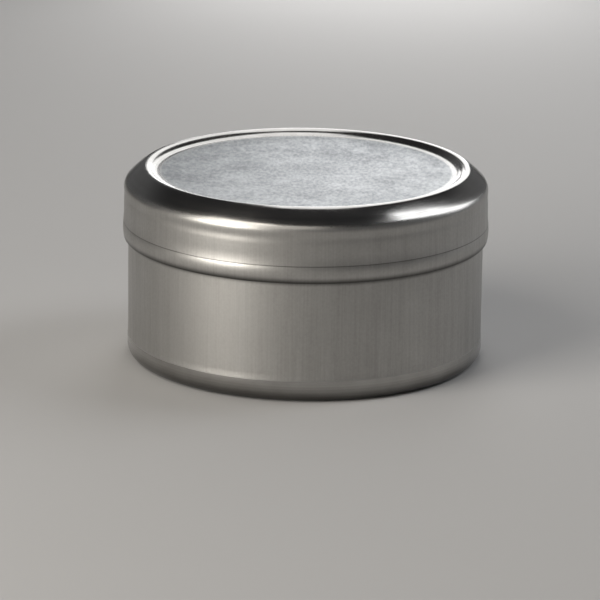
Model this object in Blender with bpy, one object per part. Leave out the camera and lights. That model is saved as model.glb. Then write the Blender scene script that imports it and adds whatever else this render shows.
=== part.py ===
"""Round drawn tin box with a slip-on lid, at real size, in metres, with +Z up.

The origin is on the floor, under the middle of the base. Both pieces are turned
sheet: each profile is the middle of the sheet, as (radius, height) from the axis
outwards, and it is spun round +Z and then given the thickness of the sheet.
"""

from math import acos, asin, atan, cos, degrees, pi, radians, sin

import bpy

# Tinplate that both pieces are drawn from
SHEET = 0.00023

# Body: straight wall, rounded foot, flat resting ring and recessed base
BODY_RADIUS = 0.0332
BODY_HEIGHT = 0.03355
FOOT_RADIUS = 0.0022
FOOT_STEP = 0.0001
FOOT_LINE_HEIGHT = 0.0044
FOOT_LINE_RISE = 0.0004
RING_WIDTH = 0.0024
BASE_RECESS = 0.0006
BASE_BEND = 0.0009

# Body: rim rolled inwards, so that no raw edge faces the hand or the lid
RIM_CURL = 0.00065
RIM_CURL_TURN = 255.0

# Lid: how it seats on the body
SEAT_GAP = 0.0003
HEM_CLEARANCE = 0.00028
LID_OVERLAP = 0.0108

# Lid: recessed panel, raised crown ring, sloping shoulder and soft corner
SHOULDER_WIDTH = 0.00398
SHOULDER_ANGLE = 40.0
CORNER_BEND = 0.0021
CROWN_BEND = 0.0013
PANEL_DEPTH = 0.00095
PANEL_SLOPE = 25.0
PANEL_FILLET = 0.0021

# Lid: shallow waist that the press leaves in the skirt, just under the corner
WAIST_HEIGHT = 0.0024
WAIST_DEPTH = 0.0001

# Lid: turned-in hem with a flare, a ridge and a rolled groove above it
HEM_SLIT = 0.00005
HEM_LEG = 0.0027
HEM_SWELL = 0.0002
GROOVE_HEIGHT = 0.0032
GROOVE_WIDTH = 0.0006
GROOVE_DEPTH = 0.00014
RIDGE_WIDTH = 0.0003
FLARE_HEIGHT = 0.0015

# Smoothness of the turned pieces
SEGMENTS = 60
AXIS_WELD = 0.00001
SHARP_ANGLE = 40.0

HALF_SHEET = SHEET / 2


def clear_objects():
    """Start from an empty scene."""
    for old in list(bpy.data.objects):
        bpy.data.objects.remove(old, do_unlink=True)


def metal(name, colour, roughness):
    """Bare metal with a plain colour."""
    material = bpy.data.materials.new(name)
    material.use_nodes = True
    shader = material.node_tree.nodes["Principled BSDF"]
    shader.inputs["Base Color"].default_value = (*colour, 1)
    shader.inputs["Metallic"].default_value = 1
    shader.inputs["Roughness"].default_value = roughness
    return material


def arc(centre, radius, start, end, steps):
    """Points of a bend in the profile; angles are in degrees, 0 outwards and 90 up."""
    points = []
    for step in range(steps + 1):
        angle = radians(start + (end - start) * step / steps)
        points.append((centre[0] + radius * cos(angle), centre[1] + radius * sin(angle)))
    return points


def turned_sheet(name, profile, material):
    """One piece of sheet, spun round +Z from the line along the middle of its section."""
    mesh = bpy.data.meshes.new(name)
    points = [(radius, 0, height) for radius, height in reversed(profile)]
    edges = [(i, i + 1) for i in range(len(points) - 1)]
    mesh.from_pydata(points, edges, [])
    piece = bpy.data.objects.new(name, mesh)
    bpy.context.collection.objects.link(piece)

    turn = piece.modifiers.new("turn", "SCREW")
    turn.axis = "Z"
    turn.angle = 2 * pi
    turn.steps = SEGMENTS
    turn.render_steps = SEGMENTS
    turn.use_merge_vertices = True
    turn.merge_threshold = AXIS_WELD

    sheet = piece.modifiers.new("sheet", "SOLIDIFY")
    sheet.thickness = SHEET
    sheet.offset = 0
    sheet.use_even_offset = True

    seen = piece.evaluated_get(bpy.context.evaluated_depsgraph_get())
    piece.data = bpy.data.meshes.new_from_object(seen)
    piece.data.name = name
    piece.modifiers.clear()
    piece.data.shade_smooth()
    piece.data.set_sharp_from_angle(angle=radians(SHARP_ANGLE))
    piece.data.materials.append(material)
    return piece


def body_profile():
    """Base, foot, wall and rolled rim of the body."""
    foot_wall = BODY_RADIUS + FOOT_STEP
    ring_outer = foot_wall - FOOT_RADIUS
    ring_inner = ring_outer - RING_WIDTH

    # The base panel steps down to the resting ring in two equal, opposite bends
    base_turn = degrees(acos(1 - BASE_RECESS / (2 * BASE_BEND)))
    panel_edge = ring_inner - 2 * BASE_BEND * sin(radians(base_turn))
    panel_bend = (panel_edge, HALF_SHEET + BASE_RECESS - BASE_BEND)
    ring_bend = (ring_inner, HALF_SHEET + BASE_BEND)
    profile = [(0, HALF_SHEET + BASE_RECESS)]
    profile += arc(panel_bend, BASE_BEND, 90, 90 - base_turn, 2)
    profile += arc(ring_bend, BASE_BEND, 270 - base_turn, 270, 2)[1:]

    # The foot stands out a little past the wall, up to a fine line round the tin
    profile += arc((ring_outer, FOOT_RADIUS), FOOT_RADIUS - HALF_SHEET, 270, 360, 5)
    profile += [
        (foot_wall - HALF_SHEET, FOOT_LINE_HEIGHT - FOOT_LINE_RISE),
        (BODY_RADIUS - HALF_SHEET, FOOT_LINE_HEIGHT),
    ]

    profile += arc(rim_centre(), RIM_CURL - HALF_SHEET, 0, RIM_CURL_TURN, 10)
    return profile


def rim_centre():
    """Middle of the roll along the body's rim, which the lid sits on."""
    return (BODY_RADIUS - RIM_CURL, BODY_HEIGHT - RIM_CURL)


def lid_radius():
    """Outside of the lid's skirt: the hem's two leaves and the slit between them clear the wall."""
    return BODY_RADIUS + HEM_CLEARANCE + SHEET + HEM_SLIT + SHEET


def corner_centre():
    """Middle of the lid's corner bend, at the height where the shoulder rests on the rim."""
    slope = radians(SHOULDER_ANGLE)
    rim_r, rim_z = rim_centre()
    corner_r = lid_radius() - CORNER_BEND
    to_shoulder = RIM_CURL + SEAT_GAP + SHEET
    corner_z = rim_z + ((rim_r - corner_r) * sin(slope) + to_shoulder - CORNER_BEND) / cos(slope)
    return (corner_r, corner_z)


def crown_centre():
    """Middle of the crown's bend, so that the shoulder lies flat between crown and corner."""
    slope = radians(SHOULDER_ANGLE)
    corner_r, corner_z = corner_centre()
    crown_r = lid_radius() - SHOULDER_WIDTH
    rise = (CORNER_BEND - CROWN_BEND + (corner_r - crown_r) * sin(slope)) / cos(slope)
    return (crown_r, corner_z + rise)


def lid_top_profile():
    """Panel, crown ring, shoulder and corner of the lid."""
    slope = radians(PANEL_SLOPE)
    crown_r, crown_z = crown_centre()
    crown_bend = CROWN_BEND - HALF_SHEET
    fillet_bend = PANEL_FILLET + HALF_SHEET

    # The slope inside the crown takes up what the two bends leave of the panel's depth
    bends_drop = (crown_bend + fillet_bend) * (1 - cos(slope))
    slope_length = (PANEL_DEPTH - bends_drop) / sin(slope)
    fillet_r = crown_r - (crown_bend + fillet_bend) * sin(slope) - slope_length * cos(slope)
    panel_z = crown_z + crown_bend - PANEL_DEPTH

    profile = [(0, panel_z)]
    profile += arc((fillet_r, panel_z + fillet_bend), fillet_bend, 270, 270 + PANEL_SLOPE, 2)
    profile += arc((crown_r, crown_z), crown_bend, 90 + PANEL_SLOPE, 90 - SHOULDER_ANGLE, 5)
    profile += arc(corner_centre(), CORNER_BEND - HALF_SHEET, 90 - SHOULDER_ANGLE, 0, 4)

    # The skirt draws in under the corner and comes out again in one smooth wave
    skirt_r = lid_radius() - HALF_SHEET
    waist_top = corner_centre()[1]
    waist_steps = 4
    for step in range(1, waist_steps + 1):
        share = step / waist_steps
        dip = WAIST_DEPTH * (1 - cos(2 * pi * share)) / 2
        profile.append((skirt_r - dip, waist_top - WAIST_HEIGHT * share))
    return profile


def lid_hem_profile():
    """Flare, ridge, groove and turned-in hem at the foot of the lid's skirt."""
    low = BODY_HEIGHT - LID_OVERLAP
    skirt_r = lid_radius() - HALF_SHEET
    leaf_r = BODY_RADIUS + HEM_CLEARANCE + HALF_SHEET
    ridge_r = skirt_r + HEM_SWELL
    groove_z = low + GROOVE_HEIGHT
    ridge_z = groove_z + GROOVE_WIDTH / 2 + RIDGE_WIDTH
    belly_z = groove_z - GROOVE_WIDTH / 2

    # The skirt flares out to the ridge in one hollow bend, then dips into the groove
    flare_turn = degrees(2 * atan(HEM_SWELL / FLARE_HEIGHT))
    flare_bend = FLARE_HEIGHT / sin(radians(flare_turn))
    flare_centre = (skirt_r + flare_bend, ridge_z + FLARE_HEIGHT)
    profile = arc(flare_centre, flare_bend, 180, 180 + flare_turn, 4)
    profile += [
        (ridge_r, groove_z + GROOVE_WIDTH / 2),
        (ridge_r - GROOVE_DEPTH, groove_z),
    ]

    # Below the groove the belly of the hem runs smoothly into the fold at its lower edge
    fold = (skirt_r - leaf_r) / 2
    fold_centre = (leaf_r + fold, low + HALF_SHEET + fold)
    out = ridge_r - fold_centre[0]
    up = belly_z - fold_centre[1]
    belly_bend = (out * out + up * up - fold * fold) / (2 * (out - fold))
    belly_turn = degrees(asin(up / (belly_bend - fold)))
    profile += arc((ridge_r - belly_bend, belly_z), belly_bend, 0, -belly_turn, 3)
    profile += arc(fold_centre, fold, -belly_turn, -180, 6)[1:]
    profile += [(leaf_r, low + HEM_LEG)]
    return profile


def build():
    """The two pieces, each in its own object, with the lid on its lifting axis."""
    clear_objects()
    wall = metal("drawn_tinplate", (0.56, 0.55, 0.53), 0.34)
    cover = metal("lid_tinplate", (0.60, 0.60, 0.59), 0.28)
    turned_sheet("tin_body", body_profile(), wall)
    turned_sheet("slip_lid", lid_top_profile() + lid_hem_profile(), cover)


build()
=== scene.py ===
"""Round slip-lid tin of bare drawn tinplate, closed, on a plain pale floor.

Lengths are in metres, +Z is up, and the tin's axis is the Z axis. Both pieces are
turned sheet: each profile is the middle of the sheet, as (radius, height) points,
and a ring is extruded from point to point before the sheet gets its thickness.
"""

from math import acos, asin, atan, ceil, cos, degrees, hypot, pi, radians, sin

import bpy
from mathutils import Matrix, Vector


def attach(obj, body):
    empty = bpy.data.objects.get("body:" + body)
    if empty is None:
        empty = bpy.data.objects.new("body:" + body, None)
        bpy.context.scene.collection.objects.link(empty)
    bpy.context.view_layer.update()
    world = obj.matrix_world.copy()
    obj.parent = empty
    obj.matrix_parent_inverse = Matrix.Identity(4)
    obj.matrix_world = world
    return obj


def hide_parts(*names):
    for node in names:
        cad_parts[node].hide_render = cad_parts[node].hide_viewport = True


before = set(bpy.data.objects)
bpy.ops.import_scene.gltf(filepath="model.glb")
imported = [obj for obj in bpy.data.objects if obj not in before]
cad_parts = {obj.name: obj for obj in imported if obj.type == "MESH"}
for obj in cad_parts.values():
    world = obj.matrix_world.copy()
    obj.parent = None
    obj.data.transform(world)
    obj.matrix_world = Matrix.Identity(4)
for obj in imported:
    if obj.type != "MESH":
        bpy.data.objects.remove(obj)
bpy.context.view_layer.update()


# Tin body
# The lower half of the tin: a cup drawn from one blank of bare tinplate. It stands on
# a flat ring round its recessed base, has a rounded foot, and its rim is rolled inwards.

SHEET = 0.00023
HALF_SHEET = SHEET / 2
BODY_RADIUS = 0.0332
BODY_HEIGHT = 0.03355

# The foot stands a hair past the wall, up to a fine line round the tin
FOOT_RADIUS = 0.0022
FOOT_STEP = 0.00006
FOOT_LINE_HEIGHT = 0.0044
FOOT_LINE_RISE = 0.0004

# The ring that the tin stands on, and the step up from it to the base
RING_WIDTH = 0.0024
BASE_RECESS = 0.0006
BASE_BEND = 0.0009

# The roll along the rim, and how far round it turns, in degrees
RIM_CURL = 0.00065
RIM_CURL_TURN = 255.0

# Steps that the turned pieces are made in: round the axis, at least in a bend, round it
# in degrees and in length, along a flat, and the angle in degrees from which an edge
# stays sharp
ROUND_STEPS = 192
LEAST_BEND_STEPS = 2
BEND_STEP = 9.0
BEND_LENGTH = 0.0003
FLAT_STEP = 0.0011
CREASE_ANGLE = 50.0

# Hand-held sheet is never quite true: how deep and how wide its hollows are, how far
# they take to fade towards an edge that holds the sheet, and how far down the rim holds it
HOLLOW_DEPTH = 0.00003
HOLLOW_WIDTH = 0.011
HOLLOW_FADE = 0.004
STIFF_RIM = 3 * RIM_CURL


def arc(centre, radius, start, end):
    """Points of a bend; angles are in degrees, 0 pointing outwards and 90 up."""
    turn = abs(end - start)
    by_length = ceil(radians(turn) * radius / BEND_LENGTH)
    steps = max(LEAST_BEND_STEPS, ceil(turn / BEND_STEP), by_length)
    angles = [radians(start + (end - start) * step / steps) for step in range(steps + 1)]
    return [(centre[0] + radius * cos(angle), centre[1] + radius * sin(angle)) for angle in angles]


def filled_in(profile):
    """The profile with points added along its flats."""
    points = [profile[0]]
    for radius, height in profile[1:]:
        last_radius, last_height = points[-1]
        steps = max(1, ceil(hypot(radius - last_radius, height - last_height) / FLAT_STEP))
        for step in range(1, steps + 1):
            share = step / steps
            points.append((
                last_radius + (radius - last_radius) * share,
                last_height + (height - last_height) * share,
            ))
    return points


def turned_sheet(name, profile, hollow_weight):
    """Extrudes a ring from the profile's free edge to the axis, then thickens the shell.

    The ring at each point of the profile is scaled from the last one, and the smallest
    closes in one point on the axis. Hollows are pressed in before the sheet is thickened,
    and hollow_weight gives the share of their full depth at a radius and height.
    """
    points = filled_in(profile)[:0:-1]
    radius, height = points[0]
    bpy.ops.object.select_all(action="DESELECT")
    bpy.ops.mesh.primitive_circle_add(vertices=ROUND_STEPS, radius=radius, location=(0, 0, height))
    piece = bpy.context.object
    piece.name = name
    piece.data.name = name
    bpy.ops.object.transform_apply(location=True)

    bpy.ops.object.mode_set(mode="EDIT")
    bpy.ops.mesh.select_all(action="SELECT")
    for next_radius, next_height in points[1:]:
        rise = (0, 0, next_height - height)
        bpy.ops.mesh.extrude_edges_move(TRANSFORM_OT_translate={"value": rise})
        share = next_radius / radius
        bpy.ops.transform.resize(value=(share, share, 1))
        radius, height = next_radius, next_height
    bpy.ops.mesh.merge(type="CENTER")
    bpy.ops.mesh.select_all(action="SELECT")
    bpy.ops.mesh.normals_make_consistent(inside=False)
    bpy.ops.object.mode_set(mode="OBJECT")

    free = piece.vertex_groups.new(name="free_sheet")
    for vertex in piece.data.vertices:
        weight = hollow_weight(vertex.co.xy.length, vertex.co.z)
        free.add([vertex.index], weight, "REPLACE")
    clouds = bpy.data.textures.new(name + "_hollows", "CLOUDS")
    clouds.noise_scale = HOLLOW_WIDTH
    clouds.noise_depth = 1
    hollows = piece.modifiers.new("hollows", "DISPLACE")
    hollows.texture = clouds
    hollows.texture_coords = "LOCAL"
    hollows.vertex_group = free.name
    hollows.mid_level = 1.0
    hollows.strength = HOLLOW_DEPTH
    sheet = piece.modifiers.new("sheet", "SOLIDIFY")
    sheet.thickness = SHEET
    sheet.offset = 0
    sheet.use_even_offset = True
    for modifier in (hollows.name, sheet.name):
        bpy.ops.object.modifier_apply(modifier=modifier)
    bpy.ops.object.shade_smooth_by_angle(angle=radians(CREASE_ANGLE))
    return piece


def body_profile():
    """Base, resting ring, foot, wall and rolled rim of the body."""
    foot_wall = BODY_RADIUS + FOOT_STEP
    ring_outer = foot_wall - FOOT_RADIUS
    ring_inner = ring_outer - RING_WIDTH

    # The base steps down to the resting ring in two equal, opposite bends
    base_turn = degrees(acos(1 - BASE_RECESS / (2 * BASE_BEND)))
    panel_edge = ring_inner - 2 * BASE_BEND * sin(radians(base_turn))
    panel_bend = (panel_edge, HALF_SHEET + BASE_RECESS - BASE_BEND)
    ring_bend = (ring_inner, HALF_SHEET + BASE_BEND)
    profile = [(0, HALF_SHEET + BASE_RECESS)]
    profile += arc(panel_bend, BASE_BEND, 90, 90 - base_turn)
    profile += arc(ring_bend, BASE_BEND, 270 - base_turn, 270)[1:]

    profile += arc((ring_outer, FOOT_RADIUS), FOOT_RADIUS - HALF_SHEET, 270, 360)
    profile += [
        (foot_wall - HALF_SHEET, FOOT_LINE_HEIGHT - FOOT_LINE_RISE),
        (BODY_RADIUS - HALF_SHEET, FOOT_LINE_HEIGHT),
    ]
    rim_centre = (BODY_RADIUS - RIM_CURL, BODY_HEIGHT - RIM_CURL)
    profile += arc(rim_centre, RIM_CURL - HALF_SHEET, 0, RIM_CURL_TURN)
    return profile


def body_hollow_weight(radius, height):
    """Full on the open wall, fading to none at the foot line and under the rim.

    The height says it all, at every radius: the foot, the ring and the base lie below
    the foot line, and have none.
    """
    if height > FOOT_LINE_HEIGHT:
        edge = min(height - FOOT_LINE_HEIGHT, BODY_HEIGHT - STIFF_RIM - height)
        return max(0.0, min(1.0, edge / HOLLOW_FADE))
    return 0.0


tin_body = turned_sheet("body_drawn_cup", body_profile(), body_hollow_weight)


def linear(hex_colour):
    """An sRGB hex colour as linear red, green, blue and alpha."""
    channels = [int(hex_colour[place:place + 2], 16) / 255 for place in (1, 3, 5)]
    return [c / 12.92 if c <= 0.04045 else ((c + 0.055) / 1.055) ** 2.4 for c in channels] + [1]


def add_node(tree, kind, settings):
    """Adds a node; each setting is a property, a socket's value or an output linked to it."""
    node = tree.nodes.new("ShaderNode" + kind)
    for key, value in settings.items():
        if isinstance(value, bpy.types.NodeSocket):
            tree.links.new(value, node.inputs[key])
        elif isinstance(key, str) and hasattr(node, key):
            setattr(node, key, value)
        else:
            node.inputs[key].default_value = value
    return node


# Tinplate: thin steel with a bright coat of tin. Drawing drags fine upright streaks down
# the wall, which shines softly. The flat disc, which no die rubs, keeps a matt, mottled
# coat. The bends slide over the die and come out polished, with faint ring lines.
TIN_LIGHT = "#B5B4B1"
TIN_DARK = "#A2A09D"
DISC_LIGHT = "#A7AAAC"
DISC_DARK = "#7E8285"
# Painted shade: this dark colour is painted in where shade falls under the lid's hem, in its
# groove and round the foot
SHADE_PAINT_COLOUR = "#1C1A18"

# A lighter spot is also shinier than a darker one, by the roughness spread
WALL_ROUGHNESS = 0.41
BEND_ROUGHNESS = 0.19
DISC_ROUGHNESS = 0.4
ROUGHNESS_SPREAD = 0.1

# Real drawing streaks, die rings and grit are about a tenth of a millimetre wide. That is
# too fine to show in the render, so they are drawn as coarse as they need to be to show.
STREAK_PITCH = 0.0003
STREAK_LENGTH = 0.016
STREAK_DEPTH = 0.000001
RING_PITCH = 0.00045
RING_DEPTH = 0.0000015
GRIT_SIZE = 0.0005

# Broader bands run down the wall between the streaks, and clouds lie over the whole tin
BAND_PITCH = 0.0021
BAND_LENGTH = 0.05
CLOUD_SIZE = 0.0065

# The disc's mottle is longer along the grain of the rolled sheet than across it: the
# grain value is how wide a spot is for its length
MOTTLE_SIZE = 0.00062
MOTTLE_GRAIN = 0.45
MOTTLE_DEPTH = 0.000007

# The disc's finish gives way to that of the polished bends over this width
DISC_FADE = 0.0008

# How many finer layers a noise has, fewer where it is fine already, and their strength
NOISE_DETAIL = 3.0
FINE_NOISE_DETAIL = 2.0
NOISE_ROUGHNESS = 0.6

# What each mix of patterns takes of its second one, and the range that the mix keeps to,
# which is stretched from the dark shade to the light one
BAND_SHARE = 0.45
GRIT_SHARE = 0.6
PATCH_SHARE = 0.4
BEND_CLOUD_SHARE = 0.5
DISC_CLOUD_SHARE = 0.45
TONE_LOW = 0.36
TONE_HIGH = 0.64


def pressed_tinplate(name, disc_edge, wall_low, wall_high, fade, wall_roughness, shade_lines):
    """Tinplate that is matt on its disc, streaked along its wall and polished between.

    The disc reaches out to disc_edge. The wall's finish fades in over the fade below
    wall_low, and out over the fade below wall_high. Shade lines are (height, half width,
    how much darker) of the lines where shade is painted into the colour.
    """
    material = bpy.data.materials.new(name)
    material.use_nodes = True
    tree = material.node_tree
    shader = tree.nodes["Principled BSDF"]
    shader.inputs["Metallic"].default_value = 1

    # Where a point lies: outwards from the axis, how far, and how high
    place = add_node(tree, "TexCoord", {}).outputs["Object"]
    parts = add_node(tree, "SeparateXYZ", {0: place})
    up = parts.outputs["Z"]
    flat = add_node(tree, "CombineXYZ", {"X": parts.outputs["X"], "Y": parts.outputs["Y"]})
    out = add_node(tree, "VectorMath", {"operation": "NORMALIZE", 0: flat.outputs[0]})
    reach = add_node(
        tree, "VectorMath", {"operation": "LENGTH", 0: flat.outputs[0]},
    ).outputs["Value"]

    # Streaks and bands are one pitch wide round the wall and drawn out down it
    drawn_lines = []
    for pitch, length in ((STREAK_PITCH, STREAK_LENGTH), (BAND_PITCH, BAND_LENGTH)):
        down = add_node(tree, "Math", {"operation": "MULTIPLY", 0: up, 1: pitch / length})
        lift = add_node(tree, "CombineXYZ", {"Z": down.outputs[0]})
        spot = add_node(
            tree, "VectorMath",
            {
                "operation": "MULTIPLY_ADD", 0: out.outputs[0], 1: (BODY_RADIUS,) * 3,
                2: lift.outputs[0],
            },
        )
        noise = add_node(
            tree, "TexNoise",
            {
                "Vector": spot.outputs[0], "Scale": 1 / pitch,
                "Detail": NOISE_DETAIL, "Roughness": NOISE_ROUGHNESS,
            },
        )
        drawn_lines.append(noise.outputs["Fac"])
    streaks, bands = drawn_lines

    # Mottle, clouds and grit are spots of one size each
    grain = add_node(
        tree, "VectorMath", {"operation": "MULTIPLY", 0: place, 1: (1, MOTTLE_GRAIN, 1)},
    ).outputs[0]
    spotted = []
    for size, detail, spot in (
        (MOTTLE_SIZE, NOISE_DETAIL, grain),
        (CLOUD_SIZE, NOISE_DETAIL, place),
        (GRIT_SIZE, FINE_NOISE_DETAIL, place),
    ):
        noise = add_node(
            tree, "TexNoise",
            {
                "Vector": spot, "Scale": 1 / size,
                "Detail": detail, "Roughness": NOISE_ROUGHNESS,
            },
        )
        spotted.append(noise.outputs["Fac"])
    mottle, clouds, grit = spotted

    # Rings change only with the distance from the axis and the height
    ring_place = add_node(tree, "CombineXYZ", {"X": reach, "Y": up})
    rings = add_node(
        tree, "TexNoise",
        {"Vector": ring_place.outputs[0], "Scale": 1 / RING_PITCH, "Detail": FINE_NOISE_DETAIL},
    ).outputs["Fac"]

    # The disc and the wall, each 1 on its own part and 0 off it, with a soft edge
    disc = add_node(
        tree, "MapRange",
        {
            "interpolation_type": "SMOOTHSTEP", "Value": reach,
            "From Min": disc_edge, "From Max": disc_edge - DISC_FADE,
        },
    ).outputs[0]
    wall_ends = []
    for outside, inside in ((wall_low - fade, wall_low), (wall_high, wall_high - fade)):
        wall_ends.append(add_node(
            tree, "MapRange",
            {
                "interpolation_type": "SMOOTHSTEP", "Value": up,
                "From Min": outside, "From Max": inside,
            },
        ).outputs[0])
    wall = add_node(
        tree, "Math", {"operation": "MULTIPLY", 0: wall_ends[0], 1: wall_ends[1]},
    ).outputs[0]

    # How light each spot is, from 0 to 1
    lines = add_node(tree, "Mix", {0: BAND_SHARE, 2: streaks, 3: bands})
    patches = add_node(tree, "Mix", {0: GRIT_SHARE, 2: clouds, 3: grit})
    wall_tone = add_node(
        tree, "Mix", {0: PATCH_SHARE, 2: lines.outputs[0], 3: patches.outputs[0]},
    )
    bend_tone = add_node(tree, "Mix", {0: BEND_CLOUD_SHARE, 2: rings, 3: clouds})
    disc_tone = add_node(tree, "Mix", {0: DISC_CLOUD_SHARE, 2: mottle, 3: clouds})
    drawn_tone = add_node(
        tree, "Mix", {0: wall, 2: bend_tone.outputs[0], 3: wall_tone.outputs[0]},
    )
    tone = add_node(tree, "Mix", {0: disc, 2: drawn_tone.outputs[0], 3: disc_tone.outputs[0]})
    light_share = add_node(
        tree, "MapRange",
        {"Value": tone.outputs[0], "From Min": TONE_LOW, "From Max": TONE_HIGH},
    ).outputs[0]

    # The colour goes from the dark shade to the light one, each with its own on the disc
    shades = []
    for off_shade, disc_shade in ((TIN_DARK, DISC_DARK), (TIN_LIGHT, DISC_LIGHT)):
        shades.append(add_node(
            tree, "Mix",
            {"data_type": "RGBA", 0: disc, 6: linear(off_shade), 7: linear(disc_shade)},
        ).outputs[2])
    dark_shade, light_shade = shades
    colour = add_node(
        tree, "Mix", {"data_type": "RGBA", 0: light_share, 6: dark_shade, 7: light_shade},
    ).outputs[2]

    # Painted shade darkens the colour along each shade line, but not on the disc
    for shade_height, half_width, darker in shade_lines:
        off = add_node(tree, "Math", {"operation": "SUBTRACT", 0: up, 1: shade_height})
        away = add_node(tree, "Math", {"operation": "ABSOLUTE", 0: off.outputs[0]})
        painted_shade_ramp = add_node(
            tree, "MapRange",
            {
                "interpolation_type": "SMOOTHSTEP", "Value": away.outputs[0],
                "From Max": half_width, "To Min": darker, "To Max": 0.0,
            },
        )
        painted_shade_share = add_node(tree, "Mix", {0: disc, 2: painted_shade_ramp.outputs[0], 3: 0.0})
        colour = add_node(
            tree, "Mix",
            {"data_type": "RGBA", 0: painted_shade_share.outputs[0], 6: colour, 7: linear(SHADE_PAINT_COLOUR)},
        ).outputs[2]

    drawn_finish = add_node(tree, "Mix", {0: wall, 2: BEND_ROUGHNESS, 3: wall_roughness})
    finish = add_node(tree, "Mix", {0: disc, 2: drawn_finish.outputs[0], 3: DISC_ROUGHNESS})
    shine = add_node(
        tree, "Math",
        {
            "operation": "MULTIPLY_ADD", 0: light_share,
            1: -ROUGHNESS_SPREAD, 2: ROUGHNESS_SPREAD / 2,
        },
    )
    roughness = add_node(
        tree, "Math", {"operation": "ADD", 0: finish.outputs[0], 1: shine.outputs[0]},
    )

    # Heights in metres, each on its own part of the surface, with the rings all over
    relief = 0.0
    for pattern, depth, part in (
        (streaks, STREAK_DEPTH, wall), (mottle, MOTTLE_DEPTH, disc), (rings, RING_DEPTH, 1.0),
    ):
        height = add_node(tree, "Math", {"operation": "MULTIPLY", 0: pattern, 1: depth})
        relief = add_node(
            tree, "Math",
            {"operation": "MULTIPLY_ADD", 0: height.outputs[0], 1: part, 2: relief},
        ).outputs[0]
    bump = add_node(tree, "Bump", {"Distance": 1.0, "Height": relief})

    tree.links.new(colour, shader.inputs["Base Color"])
    tree.links.new(roughness.outputs[0], shader.inputs["Roughness"])
    tree.links.new(bump.outputs[0], shader.inputs["Normal"])
    return material


# The body's disc is its base. Shade is painted round the foot and in a line where the lid's
# hem sits: its lower edge is the dark tuck under the hem, and with the lid off it shows as a
# dark band.
BASE_DISC_EDGE = 0.0285
WALL_FADE = 0.0005
BODY_HEM_SHADE_DROP = 0.0106
BODY_HEM_SHADE_HALF_WIDTH = 0.0011
FOOT_SHADE_HEIGHT = 0.0038
BODY_SHADE_SHARE = 0.85
BODY_SHADE_LINES = [
    (BODY_HEIGHT - BODY_HEM_SHADE_DROP, BODY_HEM_SHADE_HALF_WIDTH, BODY_SHADE_SHARE),
    (0.0, FOOT_SHADE_HEIGHT, BODY_SHADE_SHARE),
]

wall_metal = pressed_tinplate(
    "drawn_tinplate", disc_edge=BASE_DISC_EDGE, wall_low=FOOT_LINE_HEIGHT,
    wall_high=BODY_HEIGHT, fade=WALL_FADE, wall_roughness=WALL_ROUGHNESS, shade_lines=BODY_SHADE_LINES,
)
tin_body.data.materials.append(wall_metal)
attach(tin_body, "tin_body")
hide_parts("tin_body")


# Slip lid
# The cover that slips over the body's rim: pressed and drawn from tinplate, with a panel
# sunk inside a crown ring, a smooth shoulder, and a hem turned inwards at its lower edge.

# How the lid sits on the body: over the rim, round the wall and down it
SEAT_GAP = 0.0003
HEM_CLEARANCE = 0.00028
LID_OVERLAP = 0.0108

# The shoulder slopes down from the crown to the corner, a little proud of a straight line
SHOULDER_WIDTH = 0.00398
SHOULDER_ANGLE = 40.0
SHOULDER_BULGE = 0.00008
SHOULDER_STEPS = 8
CORNER_BEND = 0.0021

# The panel lies sunk inside the crown, and its middle is dished a little below its edge
CROWN_BEND = 0.0015
PANEL_DEPTH = 0.00095
PANEL_SLOPE = 42.0
PANEL_FILLET = 0.0021
PANEL_DISH = 0.0004
PANEL_STEPS = 24

# The skirt draws in just under the corner
WAIST_HEIGHT = 0.0024
WAIST_DEPTH = 0.00006
WAIST_STEPS = 12

# The skirt flares to a hairline groove, over a belly that folds inwards into the hem's
# inner leaf, with a slit between the leaves
FLARE_SWELL = 0.00014
FLARE_HEIGHT = 0.0021
GROOVE_HEIGHT = 0.0032
GROOVE_WIDTH = 0.00006
BELLY_SWELL = 0.00014
HEM_SWELL = 0.0002
HEM_CREST = 0.0019
HEM_SLIT = 0.00005
HEM_LEG = 0.0027

LID_RADIUS = BODY_RADIUS + HEM_CLEARANCE + SHEET + HEM_SLIT + SHEET
HEM_LOW = BODY_HEIGHT - LID_OVERLAP


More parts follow.
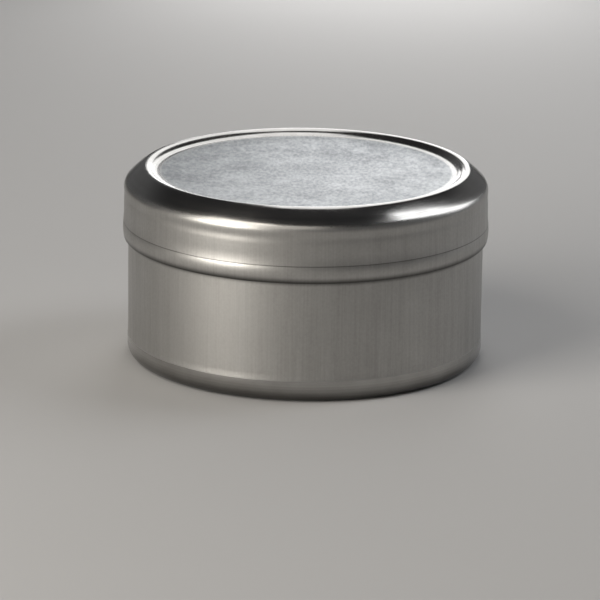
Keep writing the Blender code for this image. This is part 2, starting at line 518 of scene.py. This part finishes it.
def lid_top_profile():
    """Panel, crown ring, shoulder, corner and waist of the lid."""
    slope = radians(SHOULDER_ANGLE)
    rim_r = BODY_RADIUS - RIM_CURL
    rim_z = BODY_HEIGHT - RIM_CURL
    corner_r = LID_RADIUS - CORNER_BEND
    to_shoulder = RIM_CURL + SEAT_GAP + SHEET
    corner_z = rim_z + ((rim_r - corner_r) * sin(slope) + to_shoulder - CORNER_BEND) / cos(slope)
    crown_r = LID_RADIUS - SHOULDER_WIDTH
    crown_rise = CORNER_BEND - CROWN_BEND + (corner_r - crown_r) * sin(slope)
    crown_z = corner_z + crown_rise / cos(slope)

    # The slope inside the crown takes up what its two bends leave of the panel's depth
    inner_slope = radians(PANEL_SLOPE)
    crown_bend = CROWN_BEND - HALF_SHEET
    fillet_bend = PANEL_FILLET + HALF_SHEET
    bends_drop = (crown_bend + fillet_bend) * (1 - cos(inner_slope))
    slope_length = (PANEL_DEPTH - bends_drop) / sin(inner_slope)
    bends_reach = (crown_bend + fillet_bend) * sin(inner_slope)
    fillet_r = crown_r - bends_reach - slope_length * cos(inner_slope)
    panel_z = crown_z + crown_bend - PANEL_DEPTH

    profile = []
    for ring in range(PANEL_STEPS):
        share = ring / PANEL_STEPS
        profile.append((fillet_r * share, panel_z - PANEL_DISH * (1 - share * share)))
    profile += arc((fillet_r, panel_z + fillet_bend), fillet_bend, 270, 270 + PANEL_SLOPE)

    # The shoulder is pressed a little proud of a straight line between crown and corner
    corner_bend = CORNER_BEND - HALF_SHEET
    flat = hypot(corner_r - crown_r, corner_z - crown_z)
    lean = degrees(atan(4 * SHOULDER_BULGE / flat))
    profile += arc((crown_r, crown_z), crown_bend, 90 + PANEL_SLOPE, 90 - SHOULDER_ANGLE + lean)
    corner = arc((corner_r, corner_z), corner_bend, 90 - SHOULDER_ANGLE - lean, 0)
    start_r, start_z = profile[-1]
    end_r, end_z = corner[0]
    for step in range(1, SHOULDER_STEPS):
        share = step / SHOULDER_STEPS
        bulge = 4 * SHOULDER_BULGE * share * (1 - share)
        profile.append((
            start_r + (end_r - start_r) * share + bulge * sin(slope),
            start_z + (end_z - start_z) * share + bulge * cos(slope),
        ))
    profile += corner

    # The skirt draws in under the corner and comes out again in one smooth wave
    for step in range(1, WAIST_STEPS + 1):
        share = step / WAIST_STEPS
        dip = WAIST_DEPTH * (1 - cos(2 * pi * share)) / 2
        profile.append((LID_RADIUS - HALF_SHEET - dip, corner_z - WAIST_HEIGHT * share))
    return profile


def lid_hem_profile():
    """Flare, hairline groove, belly and turned-in hem at the foot of the lid's skirt."""
    skirt_r = LID_RADIUS - HALF_SHEET
    leaf_r = BODY_RADIUS + HEM_CLEARANCE + HALF_SHEET
    crest_r = skirt_r + HEM_SWELL
    crest_z = HEM_LOW + HEM_CREST
    groove_z = HEM_LOW + GROOVE_HEIGHT

    # The skirt flares out in a hollow bend down to the groove
    flare_turn = degrees(2 * atan(FLARE_SWELL / FLARE_HEIGHT))
    flare_bend = FLARE_HEIGHT / sin(radians(flare_turn))
    flare_centre = (skirt_r + flare_bend, groove_z + FLARE_HEIGHT)
    profile = arc(flare_centre, flare_bend, 180, 180 + flare_turn)

    # Below the groove the belly swells to its crest
    belly_height = groove_z - GROOVE_WIDTH - crest_z
    swell_turn = degrees(2 * atan(BELLY_SWELL / belly_height))
    swell_bend = belly_height / sin(radians(swell_turn))
    profile += arc((crest_r - swell_bend, crest_z), swell_bend, swell_turn, 0)

    # Below the crest it runs smoothly into the fold at its lower edge
    fold = (skirt_r - leaf_r) / 2
    fold_centre = (leaf_r + fold, HEM_LOW + HALF_SHEET + fold)
    out = crest_r - fold_centre[0]
    up = crest_z - fold_centre[1]
    belly_bend = (out * out + up * up - fold * fold) / (2 * (out - fold))
    belly_turn = degrees(asin(up / (belly_bend - fold)))
    profile += arc((crest_r - belly_bend, crest_z), belly_bend, 0, -belly_turn)[1:]
    profile += arc(fold_centre, fold, -belly_turn, -180)[1:]
    profile += [(leaf_r, HEM_LOW + HEM_LEG)]
    return profile


# The skirt's hollows fade in over less height than the wall's, from the top of the flare
SKIRT_HOLLOW_FADE = 0.002


def lid_hollow_weight(radius, height):
    """Full from the skirt over the shoulder to the crown ring, none at the flare and hem.

    Inside the crown ring they start from none again and are full on the panel's middle.
    """
    panel_edge = BODY_RADIUS - SHOULDER_WIDTH
    if radius < panel_edge:
        return max(0.0, min(1.0, (panel_edge - radius) / HOLLOW_FADE))
    flare_top = HEM_LOW + GROOVE_HEIGHT + FLARE_HEIGHT
    return max(0.0, min(1.0, (height - flare_top) / SKIRT_HOLLOW_FADE))


slip_lid = turned_sheet(
    "lid_pressed_cover", lid_top_profile() + lid_hem_profile(), lid_hollow_weight,
)

# The lid's disc is its panel. Its skirt was drawn as the wall was, so it has the same
# streaks, which fade towards the polished corner. Shade is painted under the hem's edge
# and in the groove.
LID_DISC_EDGE = 0.0276
SKIRT_TOP = 0.0342
SKIRT_FADE = 0.0018
SKIRT_ROUGHNESS = 0.38
LID_HEM_SHADE_DROP = 0.0001
LID_HEM_SHADE_HALF_WIDTH = 0.0014
LID_HEM_SHADE_SHARE = 0.9
GROOVE_SHADE_HALF_WIDTH = 0.00017
GROOVE_SHADE_SHARE = 0.55
LID_SHADE_LINES = [
    (HEM_LOW - LID_HEM_SHADE_DROP, LID_HEM_SHADE_HALF_WIDTH, LID_HEM_SHADE_SHARE),
    (HEM_LOW + GROOVE_HEIGHT, GROOVE_SHADE_HALF_WIDTH, GROOVE_SHADE_SHARE),
]

cover_metal = pressed_tinplate(
    "lid_tinplate", disc_edge=LID_DISC_EDGE, wall_low=HEM_LOW, wall_high=SKIRT_TOP,
    fade=SKIRT_FADE, wall_roughness=SKIRT_ROUGHNESS, shade_lines=LID_SHADE_LINES,
)
slip_lid.data.materials.append(cover_metal)
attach(slip_lid, "slip_lid")
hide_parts("slip_lid")


# Floor
# A plain pale matt surface under the tin, wide enough to fill the view. It is only what
# the tin stands on, and no part of it.

FLOOR_SIZE = 12.0
FLOOR_COLOUR = "#B8B7B6"
FLOOR_ROUGHNESS = 0.9
FLOOR_SHINE = 0.2

bpy.ops.object.select_all(action="DESELECT")
bpy.ops.mesh.primitive_plane_add(size=FLOOR_SIZE)
floor = bpy.context.object
floor.name = "floor"

# Uncoated paper: it scatters light evenly and shows no highlight
paper = bpy.data.materials.new("pale_paper")
paper.use_nodes = True
paper_shader = paper.node_tree.nodes["Principled BSDF"]
paper_shader.inputs["Base Color"].default_value = linear(FLOOR_COLOUR)
paper_shader.inputs["Roughness"].default_value = FLOOR_ROUGHNESS
paper_shader.inputs["Specular IOR Level"].default_value = FLOOR_SHINE
floor.data.materials.append(paper)


# Light
# Six soft boxes stand in a dim studio: two behind the tin for its panel and crown, two
# at the left and a leaning one at the right for the wall and the highlights on the
# corner, and a weak one in front. The studio's walls are brighter low down than high up.

# The point that the boxes face
TIN_MIDDLE = Vector((0, 0, 0.0175))

# Each box: its name, azimuth and elevation in degrees, where azimuth 0 is the camera's
# side and 90 its right, then its distance, width and height in metres, its lean in
# degrees about the line to the tin, its radiance and its colour
SOFT_BOXES = (
    ("back_low_box", 177, 7, 0.35, 0.125, 0.086, 0, 2.6, "#FFFFFF"),
    ("back_high_box", 172, 47, 0.35, 0.13, 0.45, 0, 1.75, "#FFFFFF"),
    ("left_low_box", -51, 12, 0.60, 0.34, 0.21, 0, 9.5, "#FFFAF2"),
    ("left_high_box", -53, 40, 0.60, 0.38, 0.39, 0, 3.4, "#FFFAF2"),
    ("front_box", -8, 35, 0.80, 0.40, 0.43, 0, 0.9, "#FFFAF2"),
    ("right_box", 107, 34, 0.60, 0.23, 0.58, 31, 3.3, "#FAFCFF"),
)

for name, azimuth, elevation, distance, width, height, lean, radiance, colour in SOFT_BOXES:
    side = radians(azimuth)
    rise = radians(elevation)
    towards = Vector((sin(side) * cos(rise), -cos(side) * cos(rise), sin(rise)))
    box = bpy.data.lights.new(name, "AREA")
    box.shape = "RECTANGLE"
    box.size = width
    box.size_y = height

    # The power that gives a box of this size its radiance
    box.energy = radiance * width * height * pi
    box.color = linear(colour)[:3]
    lamp = bpy.data.objects.new(name, box)
    bpy.context.scene.collection.objects.link(lamp)
    lamp.location = TIN_MIDDLE + towards * distance
    upright = towards.to_track_quat("Z", "Y").to_matrix()
    lamp.rotation_euler = (upright @ Matrix.Rotation(radians(lean), 3, "Z")).to_euler()

# The studio's walls turn from the low colour to the high one between these two heights,
# each the sine of its angle above the floor
WALL_LOW_COLOUR = "#646465"
WALL_HIGH_COLOUR = "#2E2E2F"
WALL_LOW_SINE = 0.3
WALL_HIGH_SINE = 0.65

studio = bpy.data.worlds.new("studio")
bpy.context.scene.world = studio
studio.use_nodes = True
sky = studio.node_tree
direction = add_node(sky, "TexCoord", {})
direction_parts = add_node(sky, "SeparateXYZ", {0: direction.outputs["Generated"]})
high_share = add_node(
    sky, "MapRange",
    {
        "interpolation_type": "SMOOTHSTEP", "Value": direction_parts.outputs["Z"],
        "From Min": WALL_LOW_SINE, "From Max": WALL_HIGH_SINE,
    },
)
studio_colour = add_node(
    sky, "Mix",
    {
        "data_type": "RGBA", 0: high_share.outputs[0],
        6: linear(WALL_LOW_COLOUR), 7: linear(WALL_HIGH_COLOUR),
    },
)
sky.links.new(studio_colour.outputs[2], sky.nodes["Background"].inputs["Color"])


# Camera
# It stands where the photograph was taken from and looks down at the tin with a long lens.
# It is turned so that AIM_POINT, on the tin's axis, shows at AIM_PIXEL.

CAMERA_DISTANCE = 0.8275
CAMERA_PITCH = 15.44
CAMERA_ROLL = 0.77
LENS = 264.6
SENSOR = 36.0
IMAGE_SIDE = 600
AIM_POINT = Vector((0, 0, 0.01655))
AIM_PIXEL = (305.17, 267.1)
NEAREST_SEEN = 0.01
FARTHEST_SEEN = 50

pitch = radians(CAMERA_PITCH)
back = Vector((0, -cos(pitch), sin(pitch)))
camera_data = bpy.data.cameras.new("camera")
camera_data.lens = LENS
camera_data.sensor_width = SENSOR
camera = bpy.data.objects.new("camera", camera_data)
bpy.context.scene.collection.objects.link(camera)
across = (AIM_PIXEL[0] - IMAGE_SIDE / 2) * SENSOR / IMAGE_SIDE
upwards = (IMAGE_SIDE / 2 - AIM_PIXEL[1]) * SENSOR / IMAGE_SIDE
seen_at = Vector((across, upwards, -LENS)).normalized()
level = back.to_track_quat("Z", "Y").to_matrix()
rolled = level @ Matrix.Rotation(radians(CAMERA_ROLL), 3, "Z")
aimed = rolled @ seen_at.rotation_difference(Vector((0, 0, -1))).to_matrix()
camera.matrix_world = Matrix.Translation(AIM_POINT + back * CAMERA_DISTANCE) @ aimed.to_4x4()
camera_data.clip_start = NEAREST_SEEN
camera_data.clip_end = FARTHEST_SEEN
bpy.context.scene.camera = camera

bpy.context.scene.view_settings.view_transform = "Standard"
